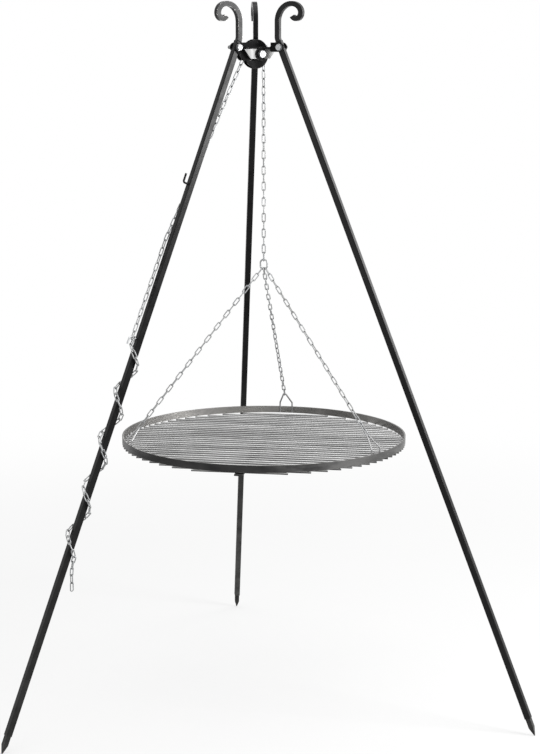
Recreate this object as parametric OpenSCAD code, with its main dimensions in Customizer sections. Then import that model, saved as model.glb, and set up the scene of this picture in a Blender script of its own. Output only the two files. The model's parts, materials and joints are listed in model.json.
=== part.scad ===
// Campfire tripod with a hanging grate, raised and lowered by a chain over a pulley.
// Millimetres, +Z up, the feet on z = 0, one leg to the rear (+Y) and two in front.

/* [Overall] */
// radius from the hub axis to a foot tip
foot_r = 725; // [500:1:900]
// height of the leg pivots
pivot_z = 1610; // [1200:1:1900]
// radius from the hub axis to a leg pivot
pivot_r = 61.5; // [56:0.5:80]

/* [Legs] */
// outside width of the square leg tube
tube_w = 15; // [14:0.5:20]
// wall of the leg tube
tube_wall = 1.5; // [1:0.1:2]
// tube end above the pivot
tube_top = 14; // [10:0.5:20]
// bare length of the foot spike
spike_len = 44; // [30:1:80]
// length of the pointed end of the spike
point_len = 20; // [10:1:28]
// gap between a bar and the tube it is welded into
bar_gap = 0.1; // [0.05:0.05:0.3]

/* [Scrolls] */
// straight rise of the scroll bar
scroll_rise = 35; // [20:1:60]
// centreline radius where the scroll leaves its stem
scroll_r = 46; // [38:0.5:52]
// tightest centreline radius, at the scroll's end
curl_r = 10.5; // [9:0.5:14]
// how much tighter the scroll gets with each twelfth of a turn
scroll_taper = 0.83; // [0.75:0.01:0.9]
// full turn of the scroll
scroll_turn = 330; // [270:30:360]

/* [Hub] */
// thickness of the hub's flat plate
plate_t = 4; // [3:0.5:6]
// thickness of the fork ears and cheeks
ear_t = 3; // [2:0.5:5]
// clearance of a leg in its fork, each side
fork_gap = 0.5; // [0.3:0.1:3]
// outer radius of the ears round the pivots
ear_r = 11; // [9:0.5:13]
// half gap between the two axle plates
axle_half = 20; // [18:0.5:26]
// height of the axle plates
axle_plate_h = 23; // [20:1:34]

/* [Pulley] */
// outer diameter
pulley_d = 69; // [62:1:80]
// clearance of the pulley between its cheeks, each side
pulley_gap = 0.5; // [0.3:0.1:1.5]
// clearance of the pulley in the flat plate's slot
slot_gap = 2.8; // [2:0.1:8]
// offset of the pulley axis toward the left leg
pulley_s = 7.3; // [4:0.1:12]
// pulley axis below the pivots
pulley_drop = 16; // [12:0.5:22]
// radius on which the chain links meet
wrap_r = 25.5; // [24:0.5:28]
// diameter of the axle bolt
axle_d = 10; // [8:0.5:12]
// radial running fit of the turning parts
run_fit = 0.05; // [0.01:0.01:0.1]

/* [Chain] */
// wire diameter
wire = 2.6; // [2:0.1:3]
// distance from link to link
pitch = 19; // [16:0.5:24]
// free width inside a link
link_gap = 5; // [4.5:0.1:6]
// play between two links
play = 0.2; // [0.1:0.05:0.4]

/* [Grate] */
// outer diameter of the grate
grate_d = 700; // [500:5:800]
// height of the ring's top rim
rim_z = 667; // [400:1:800]
// height of the ring bar
ring_h = 17; // [12:1:30]
// thickness of the ring bar
ring_t = 3.5; // [2:0.5:6]
// diameter of the grate rods
rod_d = 6; // [4:0.5:8]
// spacing of the grate rods
rod_pitch = 22; // [14:0.5:30]
// direction of the rods
rod_turn = 165; // [0:5:180]
// direction of the first sling
sling_turn = 75; // [0:5:120]

/* [Hooks] */
// distance of the chain hook down the left leg
hook_d = 740; // [500:5:900]
// distance of the utensil hook down the left leg
utensil_d = 345; // [200:5:450]
// turns of loose chain round the left leg
wrap_turns = 4.5; // [2.5:1:5.5]
// from the tube's corners to the middle of the wound chain
wrap_gap = 6.4; // [6.2:0.1:9]

/* [Hidden] */
$fn = 40;
e = 0.05;
tip_r = 1.5;
splay = atan((foot_r - pivot_r) / (pivot_z - tip_r));
leg_len = (pivot_z - tip_r) / cos(splay);
bar_w = tube_w - 2 * tube_wall - 2 * bar_gap;
fork_half = tube_w / 2 + fork_gap;
pulley_w = 2 * (fork_half - pulley_gap);
shoulder = (bar_w / 2) * (cos(30) + cos(splay) / 2) - point_len * sin(splay) / 2;
hub_y = -(foot_r / 2 + tip_r - shoulder) / 2;
pulley_z = pivot_z - pulley_drop;
plate_z = pivot_z - plate_t;
bolt_r = 4 - run_fit;
link_r = (link_gap + wire) / 2;
link_half = link_r + wire / 2;
link_in = pitch + play;
// spacing of the joints where links bend: a flat link's, then an upright link's
flat_c = link_in + wire;
up_c = link_in - link_gap;
// from a bent joint back to where a pulled chain meets
back = link_gap / 2 - play / 2;
mid_flat = sqrt(wrap_r * wrap_r - flat_c * flat_c / 4);
mid_up = sqrt(wrap_r * wrap_r - up_c * up_c / 4);
flat_a = 2 * asin(flat_c / 2 / wrap_r);
up_a = 2 * asin(up_c / 2 / wrap_r);
first_a = 190;
hang_s = pulley_s + wrap_r * cos(first_a);
hang_z = pulley_z + wrap_r * sin(first_a);
// load chain: a top link, the long chain and the master link
top_z = hang_z + back;
long_z = top_z - pitch;
master_w = 4;
master_in = 20;
master_r = 8.2;
long_n = round((long_z + back - master_in - rim_z - 0.6 * grate_d) / pitch);
master_z = long_z - long_n * pitch + back;
master_low = master_z - master_in - master_w + master_r;
// slings: from the master link to a bent wire lug on the ring
lug_w = 4;
lug_half = 16;
lug_tip = 4;
lug_rise = 27;
lug_z = rim_z - ring_h + 1 + lug_rise;
ring_r = grate_d / 2;
lug_r = sqrt(pow(ring_r - ring_t - lug_w / 2 - e, 2) - pow(lug_half, 2));
rod_z = rim_z - ring_h - rod_d / 2 - e;
// tail of the chain
hook_w = 4;
hook_u = 20;
hook_slack = 2.4;
wrap_rad = tube_w / sqrt(2) + wrap_gap;
wrap_a = 50;
wrap_b = wrap_a * up_c / flat_c;
wrap_da = sqrt(pow(flat_c, 2) - pow(2 * wrap_rad * sin(wrap_a / 2), 2));
wrap_db = sqrt(pow(up_c, 2) - pow(2 * wrap_rad * sin(wrap_b / 2), 2));
wrap_n = 2 * round(wrap_turns * 360 / (wrap_a + wrap_b)) - 1;
tail_n = 2;

black = [0.07, 0.07, 0.07];
zinc = [0.72, 0.73, 0.74];
steel = [0.62, 0.61, 0.58];

// ---- placing -------------------------------------------------------------

// x outward along a leg's plane, y across it, z up, from the hub axis
module plane_of(a) {
    translate([0, hub_y, 0])
        rotate([0, 0, a])
            children();
}

// the leg's own frame: origin at the pivot, -z down the leg, x outward
module down_leg(a) {
    plane_of(a)
        translate([pivot_r, 0, pivot_z])
            rotate([0, -splay, 0])
                children();
}

// the grate's own frame: on the load chain's line, z up
module on_grate() {
    plane_of(210)
        translate([hang_s, 0, 0])
            rotate([0, 0, -210])
                children();
}

function unit(v) = v / norm(v);

// stands the x-z plane of a shape on a line from p to q, x nearest to side
module stand(p, q, side) {
    k = unit(q - p);
    i = unit(side - (side * k) * k);
    j = cross(k, i);
    m = (p + q) / 2;
    multmatrix([[i[0], j[0], k[0], m[0]], [i[1], j[1], k[1], m[1]],
        [i[2], j[2], k[2], m[2]], [0, 0, 0, 1]])
        children();
}

// ---- wire and bar work ---------------------------------------------------

// an oval link: n is the free length, r the bend's centreline radius, w the wire
module oval(n, r, w) {
    l = n + w - 2 * r;
    translate([0, 0, l / 2])
        rotate([90, 0, 0])
            rotate_extrude(angle = 180)
                translate([r, 0])
                    circle(d = w);
    translate([0, 0, -l / 2])
        rotate([-90, 0, 0])
            rotate_extrude(angle = 180)
                translate([r, 0])
                    circle(d = w);
    translate([r, 0, -l / 2])
        cylinder(d = w, h = l);
    translate([-r, 0, -l / 2])
        cylinder(d = w, h = l);
}

// a chain link between the two points where it meets its neighbours
module link(p, q, side) {
    stand(p, q, side)
        oval(link_in, link_r, wire);
}

// links through a list of points, each a quarter turn from the last
module chain(pts, side, first = 0) {
    for (i = [0:len(pts) - 2]) {
        k = unit(pts[i + 1] - pts[i]);
        a = unit(side[i] - (side[i] * k) * k);
        link(pts[i], pts[i + 1], (i + first) % 2 == 0 ? a : cross(k, a));
    }
}

function corner(p, i, rc) =
    let (a = unit(p[i - 1] - p[i]), b = unit(p[i + 1] - p[i]), h = acos(a * b) / 2)
    rc / tan(h);

// round wire through a list of x-z points, bent to radius rc at each inner point
module bent(p, rc, w) {
    n = len(p);
    for (i = [0:n - 2]) {
        t0 = i == 0 ? 0 : corner(p, i, rc);
        t1 = i == n - 2 ? 0 : corner(p, i + 1, rc);
        k = unit(p[i + 1] - p[i]);
        s = p[i] + k * t0;
        translate([s[0], 0, s[1]])
            rotate([0, 90 - atan2(k[1], k[0]), 0])
                cylinder(d = w, h = norm(p[i + 1] - p[i]) - t0 - t1);
    }
    for (i = [1:n - 2]) {
        a = unit(p[i - 1] - p[i]);
        b = unit(p[i + 1] - p[i]);
        h = acos(a * b) / 2;
        c = p[i] + unit(a + b) * rc / sin(h);
        left = a[1] * b[0] - a[0] * b[1] > 0;
        f = left ? -a : -b;
        start = atan2(f[1], f[0]) - 90;
        translate([c[0], 0, c[1]])
            rotate([90, 0, 0])
                rotate([0, 0, start])
                    rotate_extrude(angle = 180 - 2 * h)
                        translate([rc, 0])
                            circle(d = w);
    }
}

// square bar run piece by piece: [length] goes straight, [radius, angle] turns right
module bar_run(q, w, i = 0) {
    if (i < len(q)) {
        if (len(q[i]) == 1) {
            translate([-0.5, e - w / 2, e - w / 2])
                cube([q[i][0] + 1, w - 2 * e, w - 2 * e]);
            translate([q[i][0], 0, 0])
                bar_run(q, w, i + 1);
        } else {
            translate([0, -q[i][0], 0])
                rotate([0, 0, 90 - q[i][1]])
                    rotate_extrude(angle = q[i][1])
                        translate([q[i][0] - w / 2, -w / 2])
                            square([w, w]);
            translate([0, -q[i][0], 0])
                rotate([0, 0, -q[i][1]])
                    translate([0, q[i][0], 0])
                        bar_run(q, w, i + 1);
        }
    }
}

// hexagon across flats af, its corners chamfered at both ends
module hex(af, h) {
    flat = 0.475 * af;
    drop = 0.12 * af * tan(30);
    intersection() {
        cylinder(d = af / cos(30), h = h, $fn = 6);
        rotate_extrude()
            polygon([[0, 0], [flat, 0], [flat + 0.12 * af, drop],
                [flat + 0.12 * af, h - drop], [flat, h], [0, h]]);
    }
}

// a plate across y, drawn in x-z and t thick from y0
module upright(y0, t) {
    translate([0, y0 + t, 0])
        rotate([90, 0, 0])
            linear_extrude(t)
                children();
}

// ---- hub -----------------------------------------------------------------

module at_forks() {
    for (a = [90, 210, 330])
        plane_of(a)
            children();
}

// flat Y plate with a slot for the cheeks and the pulley
module hub_plate() {
    color(black)
        difference() {
            union() {
                plane_of(210)
                    translate([-42, -axle_half - ear_t, plate_z])
                        cube([92, 2 * (axle_half + ear_t), plate_t]);
                for (a = [90, 330])
                    plane_of(a) {
                        translate([0, -9, plate_z])
                            cube([30, 18, plate_t]);
                        translate([28, -fork_half - ear_t, plate_z])
                            cube([10.9, 2 * (fork_half + ear_t), plate_t]);
                        translate([0, e - fork_half, plate_z])
                            cube([pivot_r - 12, 2 * (fork_half - e), plate_t]);
                    }
            }
            plane_of(210)
                translate([pulley_s - pulley_d / 2 - slot_gap, -fork_half - ear_t - e, plate_z - 1])
                    cube([100, 2 * (fork_half + ear_t + e), plate_t + 2]);
        }
}

module bolt_hole() {
    translate([pivot_r, pivot_z])
        circle(r = 4 + run_fit);
}

// two ears for the rear leg and two for the right one
module fork_ears() {
    color(black)
        for (a = [90, 330], y = [fork_half, -fork_half - ear_t])
            plane_of(a)
                upright(y, ear_t)
                    difference() {
                        union() {
                            translate([pivot_r, pivot_z])
                                circle(r = ear_r);
                            translate([39, pivot_z - ear_r])
                                square([pivot_r - 39, 2 * ear_r]);
                        }
                        bolt_hole();
                    }
}

// the left leg's fork, carried inward as the pulley's cheeks
module pulley_cheeks() {
    q = ear_r * sin(45);
    low = pulley_z - 15;
    color(black)
        for (y = [fork_half, -fork_half - ear_t])
            plane_of(210)
                upright(y, ear_t)
                    difference() {
                        union() {
                            translate([pivot_r, pivot_z])
                                circle(r = ear_r);
                            translate([pulley_s, pulley_z])
                                circle(r = 15);
                            polygon([[pivot_r, pivot_z + ear_r],
                                [pulley_s - 4, pivot_z + ear_r],
                                [pulley_s - 15, pulley_z + 12],
                                [pulley_s - 15, pulley_z],
                                [pulley_s, low],
                                [pivot_r + q - (pivot_z - q - low), low],
                                [pivot_r + q, pivot_z - q],
                                [pivot_r, pivot_z]]);
                        }
                        bolt_hole();
                        translate([pulley_s, pulley_z])
                            circle(r = axle_d / 2 + run_fit);
                    }
}

// blocks on the plate that the spread legs lean back on
module splay_stops() {
    h = 9;
    face = pivot_r - h * tan(splay) - tube_w / 2 / cos(splay);
    color(black) {
        for (a = [90, 330])
            plane_of(a)
                translate([face - 4, e - fork_half, pivot_z + e])
                    cube([3.7, 2 * (fork_half - e), h - e]);
        plane_of(210)
            translate([face - 4, e - fork_half, pivot_z])
                cube([3.7, 2 * (fork_half - e), h]);
    }
}

// two zinc plates hung under the flat plate, carrying the axle
module axle_plates() {
    color(zinc)
        for (y = [axle_half, -axle_half - ear_t])
            plane_of(210)
                upright(y, ear_t)
                    difference() {
                        polygon([[pulley_s - 46, plate_z - e],
                            [pulley_s + 46, plate_z - e],
                            [pulley_s + 27.5, plate_z - axle_plate_h],
                            [pulley_s - 27.5, plate_z - axle_plate_h]]);
                        translate([pulley_s, pulley_z])
                            circle(r = axle_d / 2 + run_fit);
                    }
}

module on_axle(y) {
    plane_of(210)
        translate([pulley_s, y, pulley_z])
            rotate([-90, 0, 0])
                children();
}

module ring(ro, ri, h) {
    difference() {
        cylinder(r = ro, h = h);
        translate([0, 0, -1])
            cylinder(r = ri, h = h + 2);
    }
}

module axle_bolt() {
    y0 = -axle_half - ear_t - 2.1;
    color(zinc)
        on_axle(y0) {
            cylinder(d = axle_d, h = 2 * axle_half + 2 * ear_t + 14);
            translate([0, 0, -6.4])
                hex(17, 6.4);
        }
}

module axle_nut() {
    color(zinc)
        on_axle(axle_half + ear_t + 2.1)
            difference() {
                hex(17, 8.4);
                translate([0, 0, -1])
                    cylinder(r = axle_d / 2 + run_fit, h = 11);
            }
}

module axle_washers() {
    color(black)
        for (y = [axle_half + ear_t + e, -axle_half - ear_t - 2 - e])
            on_axle(y)
                ring(15, axle_d / 2 + run_fit, 2);
}

// tubes that hold the cheeks and the axle plates apart
module axle_spacers() {
    l = axle_half - fork_half - ear_t - 2 * e;
    color(zinc)
        for (y = [fork_half + ear_t + e, -axle_half + e])
            on_axle(y)
                ring(axle_d / 2 + 3, axle_d / 2 + run_fit, l);
}

// ---- pivot bolts ---------------------------------------------------------

grip = fork_half + ear_t;

// across a leg's pivot; the right leg's bolt goes in from the other side
module at_pivots() {
    for (a = [90, 210, 330])
        plane_of(a)
            translate([pivot_r, 0, pivot_z])
                rotate([a == 330 ? -90 : 90, 0, 0])
                    children();
}

module pivot_bolts() {
    color(zinc)
        at_pivots()
            translate([0, 0, -grip - 1.7]) {
                cylinder(r = bolt_r, h = 2 * grip + 1.7 + 18.7);
                translate([0, 0, -5.3])
                    hex(13, 5.3);
            }
}

module pivot_washers() {
    color(zinc)
        at_pivots()
            for (z = [-grip - 1.6 - e, grip + e])
                translate([0, 0, z])
                    ring(8, 4 + run_fit, 1.6);
}

module pivot_nuts() {
    color(zinc)
        at_pivots()
            translate([0, 0, grip + 1.75])
                difference() {
                    hex(13, 6.5);
                    translate([0, 0, -1])
                        cylinder(r = 4 + run_fit - 0.04, h = 9);
                }
}

// ---- pulley --------------------------------------------------------------

// grooved so that flat links sit on two shoulders and upright ones in the slot
module pulley() {
    r0 = mid_up - link_half - 0.3;
    r1 = mid_flat - wire / 2 - 0.3;
    ro = pulley_d / 2;
    w = pulley_w / 2;
    s = wire / 2 + 0.7;
    g = link_half + 0.35;
    color(black)
        on_axle(0)
            rotate_extrude()
                polygon([[axle_d / 2 + 3.02, -w], [ro - 0.8, -w], [ro, -w + 0.8],
                    [r1, -g], [r1, -s], [r0, -s], [r0, s], [r1, s], [r1, g],
                    [ro, w - 0.8], [ro - 0.8, w], [axle_d / 2 + 3.02, w]]);
}

module pulley_bush() {
    color(zinc)
        on_axle(e - fork_half)
            ring(axle_d / 2 + 3, axle_d / 2 + run_fit, 2 * (fork_half - e));
}

// joints of the chain round the pulley: flat and upright links by turns
function wrapped(i) =
    let (a = first_a - floor((i + 1) / 2) * flat_a - floor(i / 2) * up_a)
    [pulley_s + wrap_r * cos(a), 0, pulley_z + wrap_r * sin(a)];

module chain_on_pulley() {
    pts = [for (i = [0:4]) wrapped(i)];
    color(zinc)
        plane_of(210)
            chain(pts, [for (p = pts) [0, 1, 0]]);
}

// ---- legs ----------------------------------------------------------------

module soft_square(w, r) {
    square([w, w - 2 * r], center = true);
    square([w - 2 * r, w], center = true);
    for (x = [r - w / 2, w / 2 - r], y = [r - w / 2, w / 2 - r])
        translate([x, y])
            circle(r = r);
}

module leg_tube(a) {
    color(black)
        down_leg(a)
            difference() {
                translate([0, 0, spike_len - leg_len])
                    linear_extrude(leg_len - spike_len + tube_top)
                        difference() {
                            soft_square(tube_w, 1.8);
                            soft_square(tube_w - 2 * tube_wall, 0.2);
                        }
                rotate([90, 0, 0])
                    cylinder(r = 4 + run_fit, h = tube_w + 2, center = true);
            }
}

module leg_tube_left() { leg_tube(210); }
module leg_tube_right() { leg_tube(330); }
module leg_tube_rear() { leg_tube(90); }

// square bar bent up, then rolled into a tightening scroll
module scroll(a) {
    roll = [for (k = [0:scroll_turn / 30 - 1])
        each [[max(curl_r, scroll_r * pow(scroll_taper, k)), 30], [0.2]]];
    color(black)
        down_leg(a)
            translate([0, 0, 5])
                rotate([0, -90, 0])
                    rotate([90, 0, 0])
                        bar_run(concat([[tube_top - 2], [24, splay], [scroll_rise]], roll),
                            bar_w);
}

module scroll_left() { scroll(210); }
module scroll_right() { scroll(330); }
module scroll_rear() { scroll(90); }

// square bar drawn out to a four-sided point
module spike(a) {
    color(black)
        down_leg(a) {
            translate([-bar_w / 2, -bar_w / 2, point_len - leg_len])
                cube([bar_w, bar_w, spike_len - point_len + 26]);
            translate([0, 0, -leg_len])
                rotate([0, 0, 45])
                    cylinder(r1 = 1.7, r2 = bar_w / sqrt(2), h = point_len, $fn = 4);
            translate([0, 0, -leg_len])
                sphere(r = tip_r);
        }
}

module spike_left() { spike(210); }
module spike_right() { spike(330); }
module spike_rear() { spike(90); }

// ---- hooks and the chain's tail on the left leg --------------------------

// a point given in the left leg's plane, in that leg's own frame
function in_leg(v) =
    let (x = v[0] - pivot_r, z = v[2] - pivot_z)
    [x * cos(splay) + z * sin(splay), v[1], z * cos(splay) - x * sin(splay)];

function way(p, i = 0) =
    i > len(p) - 2 ? 0 : norm(p[i + 1] - p[i]) + way(p, i + 1);

// the point l along a line of points
function walk(p, l, i = 0) =
    let (d = norm(p[i + 1] - p[i]))
    l <= d || i == len(p) - 2
        ? p[i] + (p[i + 1] - p[i]) * l / d
        : walk(p, l - d, i + 1);

tail_start = in_leg(wrapped(4));
tail_mid = [-10, -tube_w / 2 - 5.7, -0.42 * hook_d];
tail_path = [tail_start + unit(tail_mid - tail_start) * (wire + play) / 2,
    tail_mid,
    [10, -tube_w / 2 - 5.7, -0.65 * hook_d],
    [hook_u, 0, -hook_d]];
span_n = 2 * floor((way(tail_path) / pitch - 1) / 2) + 1;
hook_p = walk(tail_path, span_n * pitch - hook_w / 2 - hook_slack);

module tail_span() {
    color(zinc)
        down_leg(210)
            chain([for (i = [0:span_n]) walk(tail_path, i * pitch)],
                [for (i = [0:span_n]) [0, 1, 0]]);
}

// a peg out of the leg's outer face, bent down; the chain is held on it
module chain_hook() {
    color(zinc)
        down_leg(210)
            translate([0, hook_p[1], 0])
                bent([[tube_w / 2 + e, hook_p[2]],
                    [hook_p[0] + 8, hook_p[2]],
                    [hook_p[0] + 8, hook_p[2] - 18]], 5, hook_w);
}

// a peg out of the leg's outer face, bent up
module utensil_hook() {
    color(black)
        down_leg(210)
            bent([[tube_w / 2 + e, -utensil_d],
                [tube_w / 2 + 14, -utensil_d],
                [tube_w / 2 + 14, -utensil_d + 22]], 5, 5);
}

hung = [wrap_rad - 3.4, hook_p[1], hook_p[2] + hook_w / 2 + wire / 2 + 0.1];
wound_z = hung[2] - sqrt(flat_c * flat_c - 3.4 * 3.4);

// joints of the chain wound round the leg, from the peg down
function wound(i) =
    let (a = floor(i / 2) * wrap_a + floor((i + 1) / 2) * wrap_b,
        z = floor(i / 2) * wrap_da + floor((i + 1) / 2) * wrap_db)
    [wrap_rad * cos(a), wrap_rad * sin(a) + hung[1] * max(0, 1 - i / 4), wound_z - z];

// the last few links leave the winding and turn toward plumb
plumb = [-sin(splay), 0, -cos(splay)];
leave_n = 2;
leave_k = unit(wound(wrap_n) - wound(wrap_n - 1));
function leaving(i) =
    i <= 0 ? wound(wrap_n)
        : leaving(i - 1) + (i % 2 == 1 ? flat_c : up_c)
            * unit(leave_k * (leave_n + 1 - i) + plumb * i);
wound_pts = concat([hung], [for (i = [0:wrap_n]) wound(i)],
    [for (i = [1:leave_n]) leaving(i)]);
function round_leg(p, q) =
    let (m = p + q)
    cross(unit([m[0], m[1], 0]), unit(q - p));

module tail_wrap() {
    n = len(wound_pts);
    color(zinc)
        down_leg(210)
            chain(wound_pts,
                [for (i = [0:n - 2]) round_leg(wound_pts[i], wound_pts[i + 1])]);
}

// the free end, hanging plumb from the last turn
tail_pin = round_leg(leaving(leave_n - 1), leaving(leave_n));
function hanging(i) = leaving(leave_n) + plumb * (i * pitch + (wire + play) / 2);

module tail_end() {
    color(zinc)
        down_leg(210)
            chain([for (i = [0:tail_n]) hanging(i)],
                [for (i = [0:tail_n]) tail_pin]);
}

// ---- load chain ----------------------------------------------------------

module top_link() {
    color(zinc)
        on_grate()
            link([0, 0, top_z], [0, 0, long_z], [cos(210), sin(210), 0]);
}

// the quarter turns drift round evenly, so that the last link suits the master link
module load_chain() {
    want = sling_turn + (long_n % 2 == 1 ? 0 : 90);
    off = (want - 300 + 90 + 720) % 180 - 90;
    function az(i) = 300 + off * i / (long_n - 1);
    color(zinc)
        on_grate()
            chain([for (i = [0:long_n]) [0, 0, long_z - i * pitch]],
                [for (i = [0:long_n]) [cos(az(i)), sin(az(i)), 0]]);
}

module master_link() {
    a = sling_turn + 90;
    color(zinc)
        on_grate()
            translate([0, 0, master_z - (master_in + master_w) / 2])
                rotate([0, 0, a])
                    oval(master_in, master_r, master_w);
}

// ---- slings --------------------------------------------------------------

across = [cos(sling_turn + 90), sin(sling_turn + 90), 0];
function out(a) = [cos(a), sin(a), 0];
function lug_top(a) = lug_r * out(a) + [0, 0, lug_z];

// where on the master link's lower bend a sling sits square to the wire
function seat_a(a) =
    atan((out(a) * across) * (lug_r - 6) / (master_low - lug_z));
function seat(a) =
    master_r * (across * sin(seat_a(a)) - [0, 0, cos(seat_a(a))]) + [0, 0, master_low];
function seat_wire(a) = across * cos(seat_a(a)) + [0, 0, sin(seat_a(a))];

function sling_n(a) =
    floor((norm(lug_top(a) - seat(a)) - 30 + 2 * back) / pitch);
function sling_dir(a) = unit(lug_top(a) - seat(a));
function lug_eye(a) = seat(a) + sling_dir(a) * (sling_n(a) * pitch - 2 * back);

module sling(a) {
    k = sling_dir(a);
    n = sling_n(a);
    p0 = seat(a) - k * back;
    s0 = unit(cross(k, seat_wire(a)));
    s1 = cross(k, s0);
    g = unit(cross(k, out(a + 90)));
    want = (n - 1) % 2 == 0 ? g : cross(k, g);
    off = (atan2(want * s1, want * s0) + 90 + 720) % 180 - 90;
    color(zinc)
        on_grate()
            chain([for (i = [0:n]) p0 + k * i * pitch],
                [for (i = [0:n]) s0 * cos(off * i / (n - 1)) + s1 * sin(off * i / (n - 1))]);
}

module sling_back() { sling(sling_turn); }
module sling_left() { sling(sling_turn + 120); }
module sling_right() { sling(sling_turn + 240); }

module rod_between(p, q, d) {
    k = unit(q - p);
    translate(p)
        rotate([0, acos(k[2]), atan2(k[1], k[0])])
            cylinder(d = d, h = norm(q - p));
}

// one bent wire: two posts on the ring, leaning in to an eye for the last link
module lug(a) {
    k = -sling_dir(a);
    t = out(a + 90);
    c = lug_eye(a) - k * lug_tip;
    top = lug_top(a);
    for (y = [-1, 1]) {
        bend = top + t * lug_half * y;
        tip = c + t * lug_tip * y;
        translate([bend[0], bend[1], lug_z - lug_rise])
            cylinder(d = lug_w, h = lug_rise);
        translate(bend)
            sphere(d = lug_w + 0.2);
        rod_between(bend, tip, lug_w);
        translate(tip)
            sphere(d = lug_w + 0.2);
    }
    stand(c - k / 2, c + k / 2, t)
        rotate([90, 0, 0])
            rotate_extrude(angle = 180)
                translate([lug_tip, 0])
                    circle(d = lug_w);
}

module ring_lugs() {
    color(steel)
        on_grate()
            for (i = [0:2])
                lug(sling_turn + 120 * i);
}

// ---- grate ---------------------------------------------------------------

module grate_ring() {
    color(steel)
        on_grate()
            translate([0, 0, rim_z - ring_h])
                rotate_extrude()
                    translate([ring_r - ring_t, 0])
                        square([ring_t, ring_h]);
}

module grate_rods() {
    n = floor((ring_r - rod_d) / rod_pitch);
    color(steel)
        on_grate()
            rotate([0, 0, rod_turn])
                for (i = [-n:n]) {
                    l = sqrt(pow(ring_r - 1, 2) - pow(i * rod_pitch, 2));
                    translate([-l, i * rod_pitch, rod_z])
                        rotate([0, 90, 0])
                            cylinder(d = rod_d, h = 2 * l);
                }
}

// flat bar across under the rods
module grate_bar() {
    color(steel)
        on_grate()
            rotate([0, 0, rod_turn + 90])
                translate([6 - ring_r, -10, rod_z - rod_d / 2 - e - 4])
                    cube([2 * ring_r - 12, 20, 4]);
}

hub_plate();
fork_ears();
pulley_cheeks();
splay_stops();
axle_plates();
axle_bolt();
axle_nut();
axle_washers();
axle_spacers();
pivot_bolts();
pivot_washers();
pivot_nuts();
pulley();
pulley_bush();
chain_on_pulley();
leg_tube_left();
leg_tube_right();
leg_tube_rear();
scroll_left();
scroll_right();
scroll_rear();
spike_left();
spike_right();
spike_rear();
chain_hook();
utensil_hook();
tail_span();
tail_wrap();
tail_end();
top_link();
load_chain();
master_link();
sling_back();
sling_left();
sling_right();
ring_lugs();
grate_ring();
grate_rods();
grate_bar();
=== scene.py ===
import json
import math
import random

import bpy
import numpy as np
from mathutils import Matrix, Vector


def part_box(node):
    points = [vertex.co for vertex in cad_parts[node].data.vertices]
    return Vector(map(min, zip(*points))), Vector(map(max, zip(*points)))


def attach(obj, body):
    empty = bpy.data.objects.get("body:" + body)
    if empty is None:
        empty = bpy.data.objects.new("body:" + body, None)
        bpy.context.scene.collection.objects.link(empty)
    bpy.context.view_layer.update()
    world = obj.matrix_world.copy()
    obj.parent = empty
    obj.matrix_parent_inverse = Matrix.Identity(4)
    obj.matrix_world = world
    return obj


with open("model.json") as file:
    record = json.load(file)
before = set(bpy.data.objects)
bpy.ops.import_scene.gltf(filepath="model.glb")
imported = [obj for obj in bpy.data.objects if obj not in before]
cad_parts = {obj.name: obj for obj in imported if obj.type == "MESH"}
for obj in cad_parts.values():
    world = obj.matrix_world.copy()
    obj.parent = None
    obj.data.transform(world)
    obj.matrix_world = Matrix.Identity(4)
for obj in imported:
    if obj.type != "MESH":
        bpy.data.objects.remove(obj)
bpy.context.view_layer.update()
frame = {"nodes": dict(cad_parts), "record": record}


# The setting: a pale floor under a white surround, with soft panels overhead, to the right in
# front and behind (each runs a highlight down the tubes), and low on the left.
def add_node(tree, kind, sockets=None, **settings):
    """A node of that kind. Each socket takes a value, or a link where it is given a socket."""
    node = tree.nodes.new("ShaderNode" + kind)
    for name, value in settings.items():
        setattr(node, name, value)
    for name, value in (sockets or {}).items():
        if isinstance(value, bpy.types.NodeSocket):
            tree.links.new(value, node.inputs[name])
        else:
            node.inputs[name].default_value = value
    return node


def sum_of(tree, operation, first, second=0.0, third=0.0, clamp=False):
    """One sum on numbers or sockets."""
    node = add_node(tree, "Math", {0: first, 1: second, 2: third}, operation=operation, use_clamp=clamp)
    return node.outputs[0]


def spread(tree, value, low, high, to_low=0.0, to_high=1.0):
    """value taken from the range low to high onto to_low to to_high, and held there."""
    sockets = {"Value": value, "From Min": low, "From Max": high, "To Min": to_low, "To Max": to_high}
    return add_node(tree, "MapRange", sockets, interpolation_type="SMOOTHSTEP").outputs["Result"]


def tint(tree, amount, first, second):
    """A colour that goes from first to second with amount."""
    node = add_node(tree, "Mix", {0: amount}, data_type="RGBA")
    for index, value in ((6, first), (7, second)):
        if isinstance(value, bpy.types.NodeSocket):
            tree.links.new(value, node.inputs[index])
        else:
            node.inputs[index].default_value = (*value, 1.0)
    return node.outputs[2]


def new_material(name):
    """An empty material, its node tree and its output node."""
    material = bpy.data.materials.new(name)
    material.use_nodes = True
    material.node_tree.nodes.clear()
    return material, material.node_tree, add_node(material.node_tree, "OutputMaterial")


def looked_at(tree):
    """1 for a ray that the camera, a shine or a glass sends, 0 for one that gathers light."""
    rays = add_node(tree, "LightPath")
    seen = sum_of(tree, "MAXIMUM", rays.outputs["Is Camera Ray"], rays.outputs["Is Glossy Ray"])
    return sum_of(tree, "MAXIMUM", seen, rays.outputs["Is Transmission Ray"])


WHITE = (1, 1, 1, 1)
SURROUND_LIGHT = 0.42
scene = bpy.context.scene
scene.view_settings.view_transform = "Standard"
scene.world = bpy.data.worlds.new("white surround")
scene.world.use_nodes = True
sky = scene.world.node_tree
sky.nodes.clear()
strength = spread(sky, looked_at(sky), 0.0, 1.0, SURROUND_LIGHT, 1.0)
surround = add_node(sky, "Background", {"Color": WHITE, "Strength": strength})
add_node(sky, "OutputWorld", {"Surface": surround.outputs[0]})

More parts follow.
